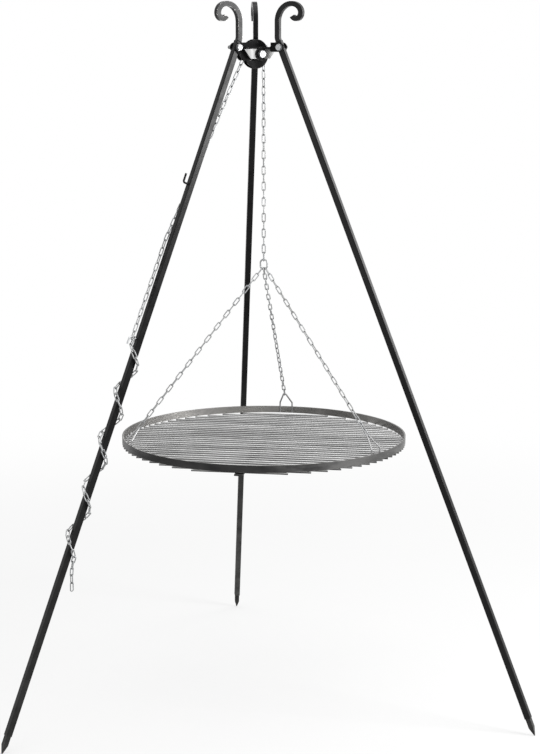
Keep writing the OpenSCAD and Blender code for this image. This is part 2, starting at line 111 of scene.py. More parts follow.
FLOOR_RADIUS = 40
FADE_START = 0.5
FADE_END = 3.2
NEAR_GLOW = 0.66
PAPER = ((0.86, 0.86, 0.86), (0.90, 0.90, 0.895))
bpy.ops.mesh.primitive_circle_add(vertices=96, radius=FLOOR_RADIUS, fill_type="NGON")
floor = bpy.context.object
floor.name = "floor"
floor_paper, tree, output = new_material("pale floor paper")
place = add_node(tree, "TexCoord").outputs["Object"]
reach = add_node(tree, "VectorMath", {0: place}, operation="LENGTH").outputs["Value"]
cloud = add_node(tree, "TexNoise", {"Vector": place, "Scale": 2.5, "Detail": 3.0}).outputs[0]
paper = add_node(tree, "BsdfPrincipled", {
    "Base Color": tint(tree, cloud, *PAPER), "Roughness": 0.95, "Specular IOR Level": 0.0})
glow = add_node(tree, "Emission", {"Color": WHITE, "Strength": 1.0})
fade = spread(tree, reach, FADE_START, FADE_END, NEAR_GLOW, 1.0)
blend = add_node(tree, "MixShader", {0: sum_of(tree, "MULTIPLY", looked_at(tree), fade),
                                     1: paper.outputs[0], 2: glow.outputs[0]})
tree.links.new(blend.outputs[0], output.inputs["Surface"])
floor.data.materials.append(floor_paper)


def soft_panel(name, place, aim, width, height, watts):
    """A rectangular soft light that faces a point."""
    bpy.ops.object.light_add(type="AREA", location=place)
    lamp = bpy.context.object
    lamp.name = name
    lamp.data.shape = "RECTANGLE"
    lamp.data.size = width
    lamp.data.size_y = height
    lamp.data.energy = watts
    lamp.rotation_mode = "QUATERNION"
    lamp.rotation_quaternion = (Vector(aim) - Vector(place)).to_track_quat("-Z", "Y")


soft_panel("overhead panel", (0.2, -0.6, 4.4), (0, 0, 0), width=3.2, height=3.2, watts=80)
soft_panel("front right panel", (2.55, -1.55, 1.62), (-0.1, -0.1, 1.4), width=1.0, height=1.0, watts=66)
soft_panel("back right panel", (2.5, 1.7, 1.8), (0.2, -0.1, 1.2), width=1.2, height=1.6, watts=15)
soft_panel("low left panel", (-3.0, -2.4, 1.2), (0, 0, 0.8), width=1.2, height=1.6, watts=10)

bpy.ops.object.camera_add(location=(-0.396, -4.753, 1.662))
camera = bpy.context.object
camera.rotation_euler = (math.radians(79.5), 0, math.radians(-5.32))
camera.data.sensor_width = 36
camera.data.lens = 90.72
scene.camera = camera


# Three legs of 15 mm square steel tube, sprayed with one coat of semi-gloss black. The coat has a
# fine orange peel, chips along the corners, long light scratches, and ash settled toward the feet.
def new_group(name, inputs, output):
    """An empty effect with number or vector inputs and one number output."""
    group = bpy.data.node_groups.new(name, "ShaderNodeTree")
    for label, value in inputs.items():
        kind = "NodeSocketVector" if value is None else "NodeSocketFloat"
        socket = group.interface.new_socket(label, in_out="INPUT", socket_type=kind)
        if value is not None:
            socket.default_value = value
    group.interface.new_socket(output, in_out="OUTPUT", socket_type="NodeSocketFloat")
    entry = group.nodes.new("NodeGroupInput").outputs
    leave = group.nodes.new("NodeGroupOutput")
    return group, entry, leave.inputs[0]


mottle, entry, leave = new_group("mottle", {"Place": None, "Scale": 30.0, "Contrast": 0.2}, "Value")
fine = add_node(mottle, "TexNoise", {"Vector": entry["Place"], "Scale": entry["Scale"], "Detail": 6.0,
                                     "Roughness": 0.6}).outputs[0]
wider = sum_of(mottle, "MULTIPLY", entry["Scale"], 0.17)
coarse = add_node(mottle, "TexNoise", {"Vector": entry["Place"], "Scale": wider}).outputs[0]
both = sum_of(mottle, "MULTIPLY_ADD", fine, 0.6, sum_of(mottle, "MULTIPLY", coarse, 0.4))
lowest = sum_of(mottle, "SUBTRACT", 0.5, entry["Contrast"])
highest = sum_of(mottle, "ADD", 0.5, entry["Contrast"])
mottle.links.new(spread(mottle, both, lowest, highest), leave)

worn_edges, entry, leave = new_group("worn edges", {"Place": None, "Width": 0.001, "Breakup": 90.0}, "Mask")
rounded = add_node(worn_edges, "Bevel", {"Radius": entry["Width"]}, samples=4).outputs[0]
flat = add_node(worn_edges, "NewGeometry").outputs["Normal"]
turn = add_node(worn_edges, "VectorMath", {0: rounded, 1: flat}, operation="DOT_PRODUCT").outputs["Value"]
edge = spread(worn_edges, sum_of(worn_edges, "SUBTRACT", 1.0, turn), 0.04, 0.24)
gaps = add_node(worn_edges, "TexNoise", {"Vector": entry["Place"], "Scale": entry["Breakup"],
                                         "Detail": 5.0}).outputs[0]
worn_edges.links.new(sum_of(worn_edges, "MULTIPLY", edge, spread(worn_edges, gaps, 0.46, 0.62)), leave)

ash, entry, leave = new_group("settled ash", {"Place": None, "Top": 0.8, "Amount": 0.3}, "Mask")
facing = add_node(ash, "SeparateXYZ", {0: add_node(ash, "NewGeometry").outputs["Normal"]}).outputs["Z"]
height = add_node(ash, "SeparateXYZ", {0: entry["Place"]}).outputs["Z"]
low = spread(ash, height, entry["Top"], 0.0)
upward = spread(ash, facing, 0.0, 0.8)
drifts = add_node(ash, "TexNoise", {"Vector": entry["Place"], "Scale": 26.0, "Detail": 7.0,
                                    "Roughness": 0.65}).outputs[0]
share = sum_of(ash, "MULTIPLY_ADD", upward, 0.35, sum_of(ash, "MULTIPLY", low, 0.8))
share = sum_of(ash, "MULTIPLY", share, spread(ash, drifts, 0.25, 0.75, 0.25, 1.0))
ash.links.new(sum_of(ash, "MULTIPLY", share, entry["Amount"], clamp=True), leave)

scratches, entry, leave = new_group("scratches", {"Place": None, "Scale": 300.0}, "Mask")
thin = add_node(scratches, "TexNoise", {"Vector": entry["Place"], "Scale": entry["Scale"],
                                        "Detail": 1.0}).outputs[0]
line = sum_of(scratches, "ABSOLUTE", sum_of(scratches, "SUBTRACT", thin, 0.5))
wider = sum_of(scratches, "MULTIPLY", entry["Scale"], 0.11)
where = add_node(scratches, "TexNoise", {"Vector": entry["Place"], "Scale": wider}).outputs[0]
scratches.links.new(sum_of(scratches, "MULTIPLY", spread(scratches, line, 0.012, 0.0),
                           spread(scratches, where, 0.52, 0.66)), leave)


def effect(tree, group, **sockets):
    """The output of one placed effect."""
    return add_node(tree, "Group", sockets, node_tree=group).outputs[0]


def laid_out(tree, place, turned, centre=(0, 0, 0)):
    """The place in a piece's own upright frame, for a piece that stands turned at centre."""
    sockets = {"Vector": place, "Location": centre, "Rotation": turned}
    return add_node(tree, "Mapping", sockets, vector_type="TEXTURE").outputs[0]


def stretched(tree, place, across, along):
    """The place scaled across and along a piece. Marks grow longer where along is small."""
    scales = (across, across, along)
    return add_node(tree, "VectorMath", {0: place, 1: scales}, operation="MULTIPLY").outputs[0]


def bumped(tree, height, depth, strength=1.0, after=None):
    """A normal from a height, on top of another normal if one is given."""
    sockets = {"Height": height, "Distance": depth, "Strength": strength}
    if after is not None:
        sockets["Normal"] = after
    return add_node(tree, "Bump", sockets).outputs[0]


BLACK = ((0.003, 0.003, 0.0032), (0.008, 0.008, 0.0083))
BARE = (0.33, 0.32, 0.31)
ASH = (0.15, 0.148, 0.143)
SCRATCHED = (0.12, 0.12, 0.12)
ASH_TOP = 0.75
RUB_FADE = 0.012


def black_paint(name, turned=(0, 0, 0), dusty=0.2, chips=0.0009, hammered=0.0, rubbed_below=0.0, matt=0.0,
                gloss=0.13):
    """Semi-gloss black over steel. turned is how a piece stands, so that its marks run along it."""
    material, tree, output = new_material(name)
    place = add_node(tree, "TexCoord").outputs["Object"]
    upright = laid_out(tree, place, turned)
    patches = effect(tree, mottle, Place=upright, Scale=34.0, Contrast=0.16)
    chipped = effect(tree, worn_edges, Place=upright, Width=chips, Breakup=95.0)
    settled = effect(tree, ash, Place=place, Top=ASH_TOP, Amount=dusty)
    scuffed = effect(tree, scratches, Place=stretched(tree, upright, 1.0, 0.03), Scale=420.0)
    colour = tint(tree, patches, *BLACK)
    colour = tint(tree, sum_of(tree, "MULTIPLY", scuffed, 0.35), colour, SCRATCHED)
    colour = tint(tree, settled, colour, ASH)
    if rubbed_below:
        height = add_node(tree, "SeparateXYZ", {0: place}).outputs["Z"]
        ragged = sum_of(tree, "MULTIPLY_ADD", patches, 0.02, height)
        rubbed = spread(tree, ragged, rubbed_below + RUB_FADE, rubbed_below - RUB_FADE)
        chipped = sum_of(tree, "MAXIMUM", chipped, rubbed)
    colour = tint(tree, chipped, colour, BARE)
    shine = spread(tree, patches, 0.0, 1.0, 0.20 + matt, 0.31 + matt)
    shine = sum_of(tree, "MULTIPLY_ADD", settled, 0.35, shine)
    peel = add_node(tree, "TexNoise", {"Vector": upright, "Scale": 620.0, "Detail": 2.0}).outputs[0]
    lengthwise = stretched(tree, upright, 1.0, 0.25)
    waves = add_node(tree, "TexNoise", {"Vector": lengthwise, "Scale": 70.0}).outputs[0]
    normal = bumped(tree, waves, 0.0004, 0.35)
    if hammered:
        blows = add_node(tree, "TexVoronoi", {"Vector": upright, "Scale": 85.0, "Smoothness": 0.8},
                         feature="SMOOTH_F1").outputs["Distance"]
        normal = bumped(tree, blows, hammered, 0.8, normal)
    normal = bumped(tree, peel, 0.00012, 0.5, normal)
    shell = add_node(tree, "BsdfPrincipled", {
        "Base Color": colour, "Roughness": shine, "Metallic": sum_of(tree, "MULTIPLY", chipped, 0.9),
        "Specular IOR Level": gloss, "Normal": normal})
    tree.links.new(shell.outputs[0], output.inputs["Surface"])
    return material


def finish_in(material, *names):
    """Gives CAD nodes a finish."""
    for name in names:
        node = frame["nodes"][name]
        node.data.materials.clear()
        node.data.materials.append(material)


LEGS = {"left": 210, "right": 330, "rear": 90}
LEG_DUST = {"left": 0.22, "right": 0.06, "rear": 0.75}
PIVOT = {joint["name"]: Vector(joint["pos_m"]) for joint in frame["record"]["behaviour"]["joints"]}
PIVOT_OUT = 0.0615
FOOT_OUT = 0.725
TOE = 0.0015
DROP = PIVOT["fold_left"].z - TOE
SPLAY = math.atan2(FOOT_OUT - PIVOT_OUT, DROP)
LEG_LENGTH = DROP / math.cos(SPLAY)
leg_paint = {}

for side, heading in LEGS.items():
    turned = (0, -SPLAY, math.radians(heading))
    leg_paint[side] = black_paint("leg paint " + side, turned, LEG_DUST[side])
    finish_in(leg_paint[side], "leg_tube_" + side)


# A spike at each foot: square steel bar drawn out to a four-sided point and welded into the tube.
# It is painted black like the leg, and the ground has rubbed the paint off at the very tip.
spike_paint = black_paint("spike paint", dusty=0.3, rubbed_below=0.004)
finish_in(spike_paint, "spike_left", "spike_right", "spike_rear")

SPIKE_OUT = 0.044
MOUTH_HALF = 0.0059
SPIKE_BEAD = 0.0021
chance = random.Random(7)


def leg_frame(side):
    """A leg's own frame: its origin on the bolt, x outward, -z down the tube."""
    heading = Matrix.Rotation(math.radians(LEGS[side]), 4, "Z")
    return Matrix.Translation(PIVOT["fold_" + side]) @ heading @ Matrix.Rotation(-SPLAY, 4, "Y")


def joined(pieces):
    """The pieces made one, with its turn and scale worked into its mesh."""
    bpy.ops.object.select_all(action="DESELECT")
    for piece in pieces:
        piece.select_set(True)
    bpy.context.view_layer.objects.active = pieces[0]
    if len(pieces) > 1:
        bpy.ops.object.join()
    bpy.ops.object.transform_apply(location=True, rotation=True, scale=True)
    return bpy.context.object


def weld(name, runs, size, finish, body):
    """Weld along lines of points: overlapping beads of that size melted into one skin."""
    beads = []
    for run in runs:
        for first, last in zip(run, run[1:]):
            steps = max(1, round((last - first).length / (0.6 * size)))
            for step in range(steps):
                spot = first.lerp(last, step / steps)
                radius = size * chance.uniform(0.88, 1.12)
                bpy.ops.mesh.primitive_ico_sphere_add(subdivisions=1, radius=radius, location=spot)
                beads.append(bpy.context.object)
    skin = joined(beads)
    melt = skin.modifiers.new("melt", "REMESH")
    melt.mode = "VOXEL"
    melt.voxel_size = size / 3.5
    ease = skin.modifiers.new("ease", "SMOOTH")
    ease.factor = 0.5
    ease.iterations = 4
    bpy.ops.object.modifier_apply(modifier="melt")
    bpy.ops.object.modifier_apply(modifier="ease")
    bpy.ops.object.shade_smooth()
    skin.name = name
    skin.data.materials.append(finish)
    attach(skin, body)


def square_run(matrix, half, height):
    """A closed square line of points at a height in a frame, half its width to each side."""
    corners = ((half, half), (-half, half), (-half, -half), (half, -half), (half, half))
    return [matrix @ Vector((x, y, height)) for x, y in corners]


for side in LEGS:
    mouth = square_run(leg_frame(side), MOUTH_HALF, SPIKE_OUT - LEG_LENGTH)
    weld("spike_weld_" + side, [mouth], SPIKE_BEAD, leg_paint[side], "leg_" + side)


# A scroll on each leg: 12 mm square bar rolled hot over a former, so its faces keep shallow dents
# and its corners are worn bright. It is welded into the top of the tube.
scroll_paint = black_paint("scroll paint", dusty=0.15, chips=0.0008, hammered=0.0005)
finish_in(scroll_paint, "scroll_left", "scroll_right", "scroll_rear")

TUBE_TOP = 0.014
SCROLL_BEAD = 0.0023
for side in LEGS:
    mouth = square_run(leg_frame(side), MOUTH_HALF, TUBE_TOP)
    weld("scroll_weld_" + side, [mouth], SCROLL_BEAD, leg_paint[side], "leg_" + side)


# The head: a flat 4 mm plate with upright 3 mm ears and cheeks welded to it, all cut from steel and
# painted matt black. It carries the pulley's axle between two plated trapezoid plates.
head_paint = black_paint("head paint", dusty=0.12, chips=0.0010, matt=0.3, gloss=0.06)
finish_in(head_paint, "hub_plate", "fork_ears", "pulley_cheeks", "splay_stops", "axle_washers")

PLATE_TOP = PIVOT["fold_left"].z
PLATE_UNDER = PLATE_TOP - 0.004
PLATE_END = 0.049
CHEEK_SIDE = 0.0114
CHEEK_START_TOP = -0.002
CHEEK_START_UNDER = -0.006
EAR_START = 0.039
STOP_BACK = 0.0451
STOP_HALF = 0.0075
JUST_OVER = 0.0006
TURN_IN = 0.72
HEAD_BEAD = 0.0019


def head_frame(side):
    """The head's frame toward one leg: its origin on the tripod's axis, x outward."""
    axis = Vector((0, PIVOT["fold_rear"].y - PIVOT_OUT, 0))
    return Matrix.Translation(axis) @ Matrix.Rotation(math.radians(LEGS[side]), 4, "Z")


def head_run(side, *points):
    """A line of points in the head's frame toward one leg."""
    return [head_frame(side) @ Vector(point) for point in points]


runs = []
for across in (CHEEK_SIDE, -CHEEK_SIDE):
    runs.append(head_run("left", (CHEEK_START_TOP, across, PLATE_TOP), (PLATE_END, across, PLATE_TOP)))
    runs.append(head_run("left", (CHEEK_START_UNDER, across, PLATE_UNDER),
                         (PLATE_END, across, PLATE_UNDER)))
    for side in ("right", "rear"):
        runs.append(head_run(side, (EAR_START, across, PLATE_UNDER),
                             (EAR_START, across, PLATE_TOP + JUST_OVER),
                             (EAR_START, across * TURN_IN, PLATE_TOP + JUST_OVER)))
for side in ("right", "rear"):
    runs.append(head_run(side, (STOP_BACK, -STOP_HALF, PLATE_TOP), (STOP_BACK, STOP_HALF, PLATE_TOP)))
weld("head_welds", runs, HEAD_BEAD, head_paint, "head")


# Zinc-plated fasteners: hexagon bolts, nuts, washers, spacers, the pulley's bush and the two axle
# plates. The plating is satin, with faint cloudy patches, and painted shade darkens its corners.
# Painted shade: a mask that darkens wherever ambient occlusion finds close surfaces, broken into specks.
crevice_shade, entry, leave = new_group("crevice painted shade", {"Place": None, "Reach": 0.003, "Amount": 0.8}, "Mask")
open_sky = add_node(crevice_shade, "AmbientOcclusion", {"Distance": entry["Reach"]}, samples=6).outputs["AO"]
occluded = spread(crevice_shade, open_sky, 0.85, 0.25)
specks = add_node(crevice_shade, "TexNoise", {"Vector": entry["Place"], "Scale": 240.0, "Detail": 4.0}).outputs[0]
speckled_shade = sum_of(crevice_shade, "MULTIPLY", occluded, spread(crevice_shade, specks, 0.3, 0.6, 0.35, 1.0))
crevice_shade.links.new(sum_of(crevice_shade, "MULTIPLY", speckled_shade, entry["Amount"], clamp=True), leave)

ZINC_BRIGHT = (0.60, 0.61, 0.63)
ZINC_DULL = (0.34, 0.35, 0.365)
ZINC_YELLOW = (0.52, 0.49, 0.41)
ZINC_RUBBED = (0.66, 0.66, 0.67)
CREVICE_SHADE_COLOUR = (0.045, 0.042, 0.038)


def zinc_plate(name, bright=ZINC_BRIGHT, dull=ZINC_DULL, scale=90.0, crevice_shading=0.8, turned=(0, 0, 0), drawn=1.0,
               satin=0.36):
    """Zinc plating over steel. turned and drawn lay its clouds and grain along a piece."""
    material, tree, output = new_material(name)
    place = add_node(tree, "TexCoord").outputs["Object"]
    along = stretched(tree, laid_out(tree, place, turned), 1.0, drawn)
    clouds = effect(tree, mottle, Place=along, Scale=scale, Contrast=0.22)
    stains = effect(tree, mottle, Place=place, Scale=scale * 0.35, Contrast=0.12)
    # corners is painted shade in the crevices; it also makes the plating rougher and less metallic there.
    corners = effect(tree, crevice_shade, Place=place, Reach=0.003, Amount=crevice_shading)
    rubbed = effect(tree, worn_edges, Place=place, Width=0.0006, Breakup=160.0)
    colour = tint(tree, clouds, dull, bright)
    colour = tint(tree, sum_of(tree, "MULTIPLY", stains, 0.12), colour, ZINC_YELLOW)
    colour = tint(tree, sum_of(tree, "MULTIPLY", rubbed, 0.6), colour, ZINC_RUBBED)
    colour = tint(tree, corners, colour, CREVICE_SHADE_COLOUR)
    shine = sum_of(tree, "MULTIPLY_ADD", corners, 0.35, spread(tree, clouds, 0.0, 1.0, satin + 0.12, satin))
    grain = add_node(tree, "TexNoise", {"Vector": along, "Scale": 900.0, "Detail": 3.0}).outputs[0]
    normal = bumped(tree, grain, 0.00008, 0.6)
    metal = sum_of(tree, "SUBTRACT", 1.0, sum_of(tree, "MULTIPLY", corners, 0.8))
    shell = add_node(tree, "BsdfPrincipled", {"Base Color": colour, "Roughness": shine, "Metallic": metal,
                                              "Normal": normal})
    tree.links.new(shell.outputs[0], output.inputs["Surface"])
    return material


FASTENER_BRIGHT = (0.42, 0.43, 0.445)
FASTENER_DULL = (0.22, 0.225, 0.235)
fastener_zinc = zinc_plate("fastener zinc", FASTENER_BRIGHT, FASTENER_DULL, satin=0.4)
finish_in(fastener_zinc, "axle_bolt", "axle_nut", "axle_spacers", "pivot_bolts", "pivot_washers",
          "pivot_nuts", "pulley_bush")

THREAD_PITCH = 0.00125
THREAD_TURNS = 8
THREAD_RIDGE = 0.46 * THREAD_PITCH
BOLT_RADIUS = 0.00395
THREAD_START = 0.0196


def thread(name, side, direction, finish):
    """The turns of thread on a leg bolt's bare end, past its nut."""
    start = Matrix.Translation((PIVOT_OUT, direction * THREAD_START, PIVOT["fold_left"].z))
    place = head_frame(side) @ start
    bpy.ops.mesh.primitive_circle_add(vertices=3, radius=THREAD_RIDGE, fill_type="NOTHING",
                                      location=(BOLT_RADIUS, 0, 0), rotation=(math.radians(90), 0, 0))
    ridge = bpy.context.object
    bpy.ops.object.transform_apply(location=True, rotation=True, scale=True)
    turns = ridge.modifiers.new("turns", "SCREW")
    turns.axis = "Z"
    turns.screw_offset = THREAD_PITCH
    turns.iterations = THREAD_TURNS
    turns.steps = 20
    turns.render_steps = 20
    bpy.ops.object.modifier_apply(modifier="turns")
    ridge.matrix_world = place @ Matrix.Rotation(math.radians(-90 * direction), 4, "X")
    bpy.ops.object.transform_apply(location=True, rotation=True, scale=True)
    bpy.ops.object.shade_smooth()
    ridge.name = name
    ridge.data.materials.append(finish)
    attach(ridge, "head")


for side, direction in {"left": -1, "rear": -1, "right": 1}.items():
    thread("bolt_thread_" + side, side, direction, fastener_zinc)

PLATE_BRIGHT = (0.30, 0.305, 0.315)
PLATE_DULL = (0.17, 0.174, 0.18)
plate_zinc = zinc_plate("axle plate zinc", PLATE_BRIGHT, PLATE_DULL, satin=0.5, scale=55.0, drawn=0.12,
                        turned=(0, 0, math.radians(LEGS["left"])), crevice_shading=0.5)
finish_in(plate_zinc, "axle_plates")


# The pulley: a turned steel wheel, blacked, with two shoulders for the flat links and a slot for
# the upright ones. The chain has worn the whole groove through to the metal.
GROOVE_HALF = (0.0052, 0.0040)
RIM_DEPTH = (0.004, 0.008)

groove_metal, tree, output = new_material("pulley black and worn groove")
place = add_node(tree, "TexCoord").outputs["Object"]
centred = add_node(tree, "VectorMath", {0: place, 1: PIVOT["pulley_spin"]}, operation="SUBTRACT").outputs[0]
joints = frame["record"]["behaviour"]["joints"]
axle = Vector(next(joint["axis"] for joint in joints if joint["name"] == "pulley_spin"))
across = add_node(tree, "VectorMath", {0: centred, 1: axle}, operation="DOT_PRODUCT").outputs["Value"]
out = add_node(tree, "VectorMath", {0: centred}, operation="LENGTH").outputs["Value"]
rim_radius = (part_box("pulley")[1][2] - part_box("pulley")[0][2]) / 2
patches = effect(tree, mottle, Place=place, Scale=60.0, Contrast=0.2)
inside = spread(tree, sum_of(tree, "ABSOLUTE", across), *GROOVE_HALF)
deep = spread(tree, out, *(rim_radius - depth for depth in RIM_DEPTH))
groove = sum_of(tree, "MULTIPLY", inside, deep)
groove = sum_of(tree, "MULTIPLY", groove, spread(tree, patches, 0.0, 1.0, 0.5, 1.0))
chipped = effect(tree, worn_edges, Place=place, Width=0.0009, Breakup=120.0)
bare = sum_of(tree, "MAXIMUM", groove, chipped)
tool_marks = add_node(tree, "TexWave", {"Vector": centred, "Scale": 420.0, "Distortion": 0.4},
                      wave_type="RINGS", rings_direction="SPHERICAL").outputs[1]
colour = tint(tree, bare, tint(tree, patches, *BLACK), BARE)
shell = add_node(tree, "BsdfPrincipled", {
    "Base Color": colour, "Metallic": sum_of(tree, "MULTIPLY", bare, 0.9),
    "Roughness": spread(tree, patches, 0.0, 1.0, 0.42, 0.60), "Specular IOR Level": 0.08,
    "Normal": bumped(tree, tool_marks, 0.00005, 0.5)})
tree.links.new(shell.outputs[0], output.inputs["Surface"])
finish_in(groove_metal, "pulley")


# The chain: short links bent from 2.6 mm wire, butt-welded on one side, zinc plated and dulled by
# handling. Where links bear on each other the plating is rubbed, and painted shade darkens the crotches.
CHAIN_BRIGHT = (0.45, 0.46, 0.47)
CHAIN_DULL = (0.22, 0.225, 0.23)
chain_zinc = zinc_plate("chain zinc", CHAIN_BRIGHT, CHAIN_DULL, scale=130.0, crevice_shading=0.65)
CHAIN_NODES = {"chain_on_pulley": "head", "tail_span": "chain_tail", "tail_wrap": "leg_left",
               "tail_end": "chain_free_end", "top_link": "chain_top", "load_chain": "chain_long",
               "sling_back": "grate", "sling_left": "grate", "sling_right": "grate"}
finish_in(chain_zinc, *CHAIN_NODES, "master_link")

LINK_RADIUS = 0.0038
WELD_SHAPE = (0.00152, 0.00152, 0.0019)


def link_frames(node):
    """Each link's own frame in a chain node: z along the link, x across its width."""
    copy = bpy.data.objects.new("loose links", frame["nodes"][node].data.copy())
    bpy.context.collection.objects.link(copy)
    bpy.ops.object.select_all(action="DESELECT")
    copy.select_set(True)
    bpy.context.view_layer.objects.active = copy
    bpy.ops.object.mode_set(mode="EDIT")
    bpy.ops.mesh.select_all(action="SELECT")
    bpy.ops.mesh.remove_doubles(threshold=0.00001)
    bpy.ops.mesh.separate(type="LOOSE")
    bpy.ops.object.mode_set(mode="OBJECT")
    links = list(bpy.context.selected_objects)
    frames = []
    for link in links:
        points = np.array([vertex.co for vertex in link.data.vertices])
        middle = points.mean(axis=0)
        axes = np.linalg.eigh(np.cov((points - middle).T))[1]
        across = Vector(axes[:, 1])
        along = Vector(axes[:, 2])
        columns = Matrix((across, along.cross(across), along)).transposed().to_4x4()
        frames.append(Matrix.Translation(middle) @ columns)
    for link in links:
        bpy.data.objects.remove(link, do_unlink=True)
    return sorted(frames, key=lambda place: tuple(round(value, 5) for value in place.translation))


def copied(pattern, place):
    """A copy of a pattern set at a place."""
    copy = pattern.copy()
    copy.data = pattern.data.copy()
    copy.matrix_world = place
    bpy.context.collection.objects.link(copy)
    return copy


bpy.ops.mesh.primitive_uv_sphere_add(segments=8, ring_count=6, radius=1)
upset = bpy.context.object
bpy.ops.object.mode_set(mode="EDIT")
bpy.ops.mesh.select_all(action="SELECT")
bpy.ops.transform.resize(value=WELD_SHAPE)
bpy.ops.object.mode_set(mode="OBJECT")
bpy.ops.object.shade_smooth()

for node, body in CHAIN_NODES.items():
    marks = []
    for place in link_frames(node):
        side_of_link = chance.choice((-1, 1))
        marks.append(copied(upset, place @ Matrix.Translation((side_of_link * LINK_RADIUS, 0, 0))))
    link_welds = joined(marks)
    link_welds.name = "link_welds_" + node
    link_welds.data.materials.append(chain_zinc)
    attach(link_welds, body)
bpy.data.objects.remove(upset, do_unlink=True)


# Two hooks on the left leg, bent from round bar and welded on: a plated one that holds the chain,
# and above it a painted one for a ladle.
finish_in(zinc_plate("chain hook zinc", crevice_shading=0.6), "chain_hook")
finish_in(black_paint("utensil hook paint", dusty=0.2, chips=0.0011), "utensil_hook")

LEG_FACE = 0.0077
HOOK_BEAD = 0.0016
HOOK_FEET = {"chain_hook_weld": (-0.00057, -0.72874, 0.0021), "utensil_hook_weld": (0.0, -0.345, 0.0026)}
for name, (across, height, radius) in HOOK_FEET.items():
    foot = []
    for step in range(13):
        angle = math.radians(30 * step)
        foot.append(leg_frame("left") @ Vector((LEG_FACE, across + radius * math.cos(angle),
                                                height + radius * math.sin(angle))))
    weld(name, [foot], HOOK_BEAD, leg_paint["left"], "leg_left")


# The grate's ring: flat bar rolled and welded end to end. Its inner face is brushed bright and
# darkened toward the right with painted shade. Its outer face keeps a dark scale, paler toward the right
# with painted light.
ring_low, ring_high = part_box("grate_ring")
ring_middle = [(low + high) / 2 for low, high in zip(ring_low, ring_high)]
ring_radius = (ring_high[0] - ring_low[0]) / 2
BRUSHED = ((0.20, 0.195, 0.19), (0.46, 0.45, 0.43))
SCALE = ((0.012, 0.012, 0.0125), (0.045, 0.0445, 0.044))
SCALE_LIT_RIGHT = ((0.055, 0.055, 0.055), (0.16, 0.158, 0.155))
SHADE_INNER_RIGHT = (0.07, 0.069, 0.067)
BRIGHT_EDGE = (0.50, 0.49, 0.47)
OUTER_SKIN = (0.0022, 0.0012)
LIT_RIGHT_SPAN = (0.02, 0.22)
SHADE_INNER_SPAN = (0.10, 0.30)

ring_steel, tree, output = new_material("ring steel")
place = add_node(tree, "TexCoord").outputs["Object"]
centred = add_node(tree, "VectorMath", {0: place, 1: ring_middle}, operation="SUBTRACT").outputs[0]
parts = add_node(tree, "SeparateXYZ", {0: centred}).outputs
turn_angle = sum_of(tree, "ARCTAN2", parts["Y"], parts["X"])
flat_place = add_node(tree, "CombineXYZ", {"X": parts["X"], "Y": parts["Y"]}).outputs[0]
out = add_node(tree, "VectorMath", {0: flat_place}, operation="LENGTH").outputs["Value"]
along = sum_of(tree, "MULTIPLY", turn_angle, ring_radius)
round_place = add_node(tree, "CombineXYZ", {"X": out, "Y": parts["Z"], "Z": along}).outputs[0]
brush = add_node(tree, "TexNoise", {"Vector": stretched(tree, round_place, 1.0, 0.02), "Scale": 600.0,
                                    "Detail": 2.0}).outputs[0]
patches = effect(tree, mottle, Place=stretched(tree, round_place, 1.0, 0.35), Scale=28.0, Contrast=0.18)
cloudy = sum_of(tree, "MULTIPLY", patches, 0.9)
bright = sum_of(tree, "MULTIPLY_ADD", spread(tree, brush, 0.3, 0.7), 0.1, cloudy)
outside = spread(tree, out, *(ring_radius - depth for depth in OUTER_SKIN))
# Painted light: the outer face's scale turns paler toward the right.
lit_right_side = spread(tree, sum_of(tree, "MULTIPLY_ADD", patches, 0.12, parts["X"]), *LIT_RIGHT_SPAN)
dark = tint(tree, lit_right_side, tint(tree, patches, *SCALE), tint(tree, patches, *SCALE_LIT_RIGHT))
edge = effect(tree, worn_edges, Place=place, Width=0.0011, Breakup=70.0)
# Painted shade: the inner face darkens toward the right.
inner_right_shade = spread(tree, sum_of(tree, "MULTIPLY_ADD", patches, 0.1, parts["X"]), *SHADE_INNER_SPAN, 0.0, 0.65)
inner = tint(tree, inner_right_shade, tint(tree, bright, *BRUSHED), SHADE_INNER_RIGHT)
colour = tint(tree, outside, inner, dark)
colour = tint(tree, sum_of(tree, "MULTIPLY", edge, 0.8), colour, BRIGHT_EDGE)
shell = add_node(tree, "BsdfPrincipled", {
    "Base Color": colour, "Metallic": spread(tree, outside, 0.0, 1.0, 1.0, 0.75),
    "Roughness": sum_of(tree, "MULTIPLY_ADD", outside, 0.12, spread(tree, bright, 0.0, 1.0, 0.42, 0.24)),
    "Normal": bumped(tree, brush, 0.00003, 0.4)})
tree.links.new(shell.outputs[0], output.inputs["Surface"])
finish_in(ring_steel, "grate_ring")


# The rods lie under the ring, 6 mm hot-rolled round welded at both ends, with a flat cross bar under
# them. Their tops carry a painted highlight and their undersides painted shade, no two rods quite alike.
ROD_HEADING = math.radians(165)
ROD_PITCH = 0.022
ROD_LIT_TOP = ((0.15, 0.15, 0.15), (0.52, 0.52, 0.518))
BAR_LIT_TOP = ((0.05, 0.05, 0.05), (0.14, 0.135, 0.13))
UNDERSIDE_SHADE = ((0.018, 0.0175, 0.017), (0.058, 0.057, 0.055))


